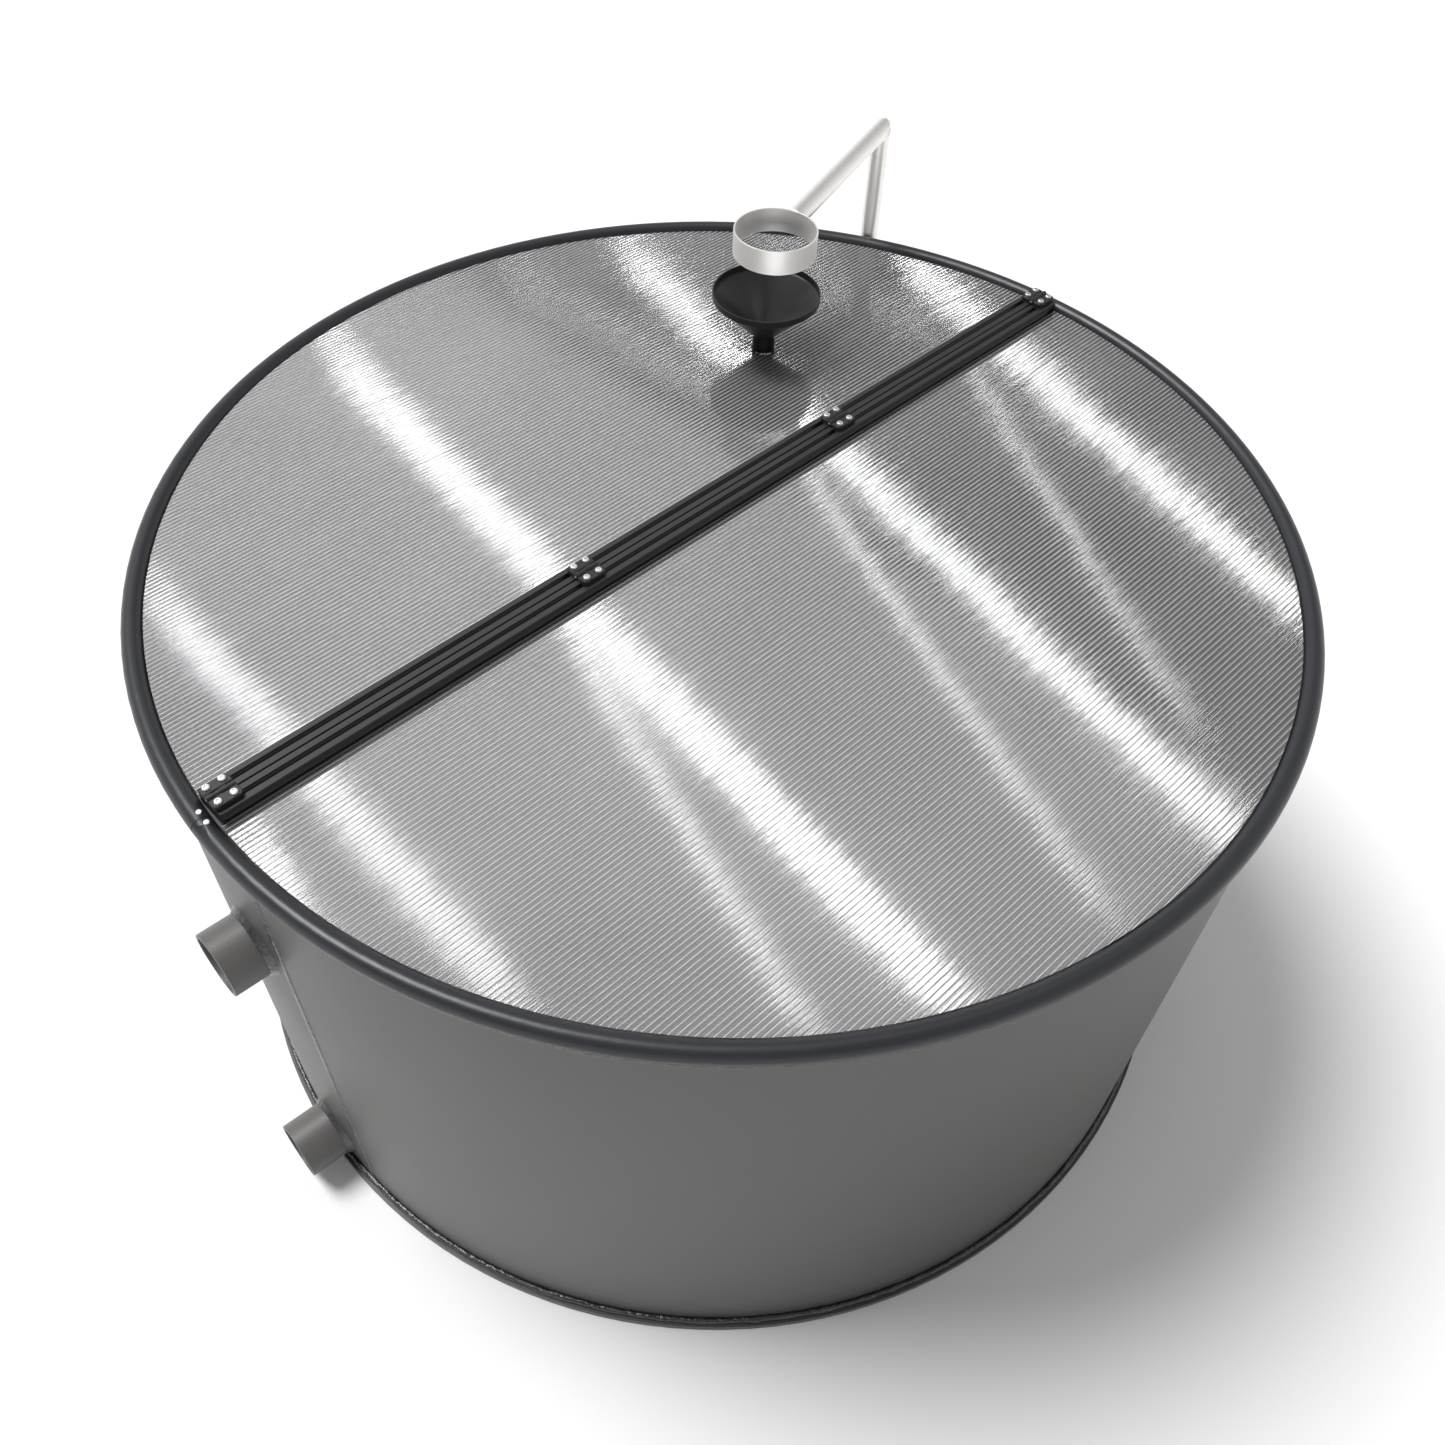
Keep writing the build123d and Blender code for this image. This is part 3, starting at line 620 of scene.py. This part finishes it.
bpy.ops.object.select_all(action="DESELECT")
bpy.ops.mesh.primitive_plane_add(size=FLOOR_SIZE, location=(0, 0, 0))
floor = bpy.context.object
floor.name = "floor"
floor_material, floor_place, floor_shader = start_finish("floor", Roughness=0.9, Specular_IOR_Level=0.1)
floor_light = tuple(c * 1.02 for c in FLOOR_COLOUR)
wire(tint(noise(floor_place, 0.6), FLOOR_COLOUR, floor_light), floor_shader, "Base Color")
floor.data.materials.append(floor_material)

world = bpy.data.worlds.new("studio")
bpy.context.scene.world = world
world.use_nodes = True
room = Flow(world.node_tree).node("ShaderNodeTexCoord", output="Generated")
patches = soft_step(noise(room, 1.1, detail=1.0), 0.38, 0.62)
# Low down the room is plain and as bright as the floor, so the floor's far edge melts away.
upness = room.node("ShaderNodeSeparateXYZ", None, {"Vector": room}, output="Z")
overhead = soft_step(upness, *PLAIN_BELOW_TO)
light = overhead * (patches * (ROOM_BRIGHT - ROOM_DIM) + ROOM_DIM) + (1.0 - overhead) * HORIZON_BRIGHT
sky = world.node_tree.nodes["Background"]
sky.inputs["Color"].default_value = (1.0, 1.0, 1.0, 1.0)
world.node_tree.links.new(light.socket, sky.inputs["Strength"])
bpy.context.scene.view_settings.view_transform = "Standard"

lid_nodes, other_nodes = (bpy.data.collections.new(name) for name in ("lid", "all_but_lid"))
for name, node in nodes.items():
    (lid_nodes if name in ("front_sheet", "back_sheet") else other_nodes).objects.link(node)
for bead in (base_rope, mitre_bead, ring_bead, sawn_edge):
    other_nodes.objects.link(bead)


def sun_lamp(name, strength):
    data = bpy.data.lights.new(name, "SUN")
    data.energy = strength
    data.angle = SUN_ANGLE
    made = bpy.data.objects.new(name, data)
    bpy.context.scene.collection.objects.link(made)
    made.rotation_euler = SUN_FROM.to_track_quat("Z", "Y").to_euler()
    return made


# One sun for matt surfaces. Its twin is only for shine, and leaves the lid out, because the
# lid would show it as one big white patch.
sun = sun_lamp("sun", SUN_STRENGTH)
sun.visible_glossy = False
shine = sun_lamp("shine", SHINE_STRENGTH)
shine.visible_diffuse = False
shine.light_linking.receiver_collection = other_nodes


def lamp(name, place, size, turn, brightness):
    """A rectangular lamp facing down, turned about the upright. Brightness is per area."""
    data = bpy.data.lights.new(name, "AREA")
    data.shape = "RECTANGLE"
    data.size, data.size_y = size
    data.energy = brightness * math.pi * size[0] * size[1]
    made = bpy.data.objects.new(name, data)
    bpy.context.scene.collection.objects.link(made)
    made.location = place
    made.rotation_euler = (0, 0, turn)
    made.visible_diffuse = False
    return made


# A soft panel in front gives only the steel its warm brightness.
PANEL_PLACE, PANEL_SIZE, PANEL_BRIGHTNESS = Vector((-1.0, -1.1, 0.75)), (1.3, 1.3), 11.0
steel_nodes = bpy.data.collections.new("steel")
for node_name in ("post_tube", "arm_tube", "holder_ring"):
    steel_nodes.objects.link(nodes[node_name])
for bead in (mitre_bead, ring_bead):
    steel_nodes.objects.link(bead)
panel = lamp("panel", PANEL_PLACE, PANEL_SIZE, 0.0, PANEL_BRIGHTNESS)
panel.rotation_euler = (PANEL_PLACE - ring_middle).to_track_quat("Z", "Y").to_euler()
panel.visible_diffuse = True
panel.light_linking.receiver_collection = steel_nodes
print("sun", SUN_STRENGTH, "panel", PANEL_BRIGHTNESS)

# %% [markdown]
# ## Lamp tubes over the lid
# Each long streak on the lid is the mirror image of a lamp tube on the ceiling. It is easier
# to say where the image lies on the lid than where the tube hangs: we take the line from the
# camera to each end of the image, and follow its reflection up to the ceiling. The tubes are
# seen only in reflections, so they don't change the soft light.

# %% Hang the tubes
CEILING_ABOVE_LID = 1.9
TUBE_IMAGES = [
    # start x, start y, end x, end y on the lid, width there, brightness
    (-0.138, 0.596, -0.281, -0.574, 0.040, 26.0),
    (-0.236, 0.004, -0.392, -0.508, 0.018, 16.0),
    (0.302, 0.533, 0.048, -0.653, 0.034, 26.0),
    (0.141, 0.022, -0.112, -0.609, 0.018, 14.0),
    (0.584, 0.251, 0.364, -0.533, 0.036, 28.0),
    (0.443, 0.008, 0.144, -0.524, 0.014, 14.0),
    (-0.530, 0.343, -0.553, -0.313, 0.034, 18.0),
    (-0.624, 0.015, -0.656, -0.198, 0.040, 22.0),
    (0.143, 0.603, 0.171, 0.085, 0.014, 12.0),
    (0.462, 0.411, 0.474, 0.101, 0.014, 12.0),
    # wide and faint: the bright side of the ceiling, in three steps
    (-0.38, 0.90, -0.38, -0.90, 0.95, 2.6),
    (-0.40, 0.90, -0.40, -0.90, 0.72, 2.2),
    (-0.40, 0.80, -0.40, 0.03, 0.70, 4.0),
]


def over_the_lid(x, y):
    """The point on the ceiling that is seen mirrored at (x, y) on the lid."""
    away = CEILING_ABOVE_LID / (CAMERA_PLACE.z - lid_top)
    beyond = Vector((x - CAMERA_PLACE.x, y - CAMERA_PLACE.y, 0.0)) * away
    return Vector((x, y, lid_top + CEILING_ABOVE_LID)) + beyond


for number, (x0, y0, x1, y1, width, brightness) in enumerate(TUBE_IMAGES, start=1):
    start, end = over_the_lid(x0, y0), over_the_lid(x1, y1)
    grow = 1 + CEILING_ABOVE_LID / (CAMERA_PLACE.z - lid_top)
    size = ((end - start).length, width * grow)
    turn = math.atan2(end.y - start.y, end.x - start.x)
    tube = lamp(f"tube_{number}", (start + end) / 2, size, turn, brightness)
    tube.light_linking.receiver_collection = lid_nodes
print("tubes", len(TUBE_IMAGES))
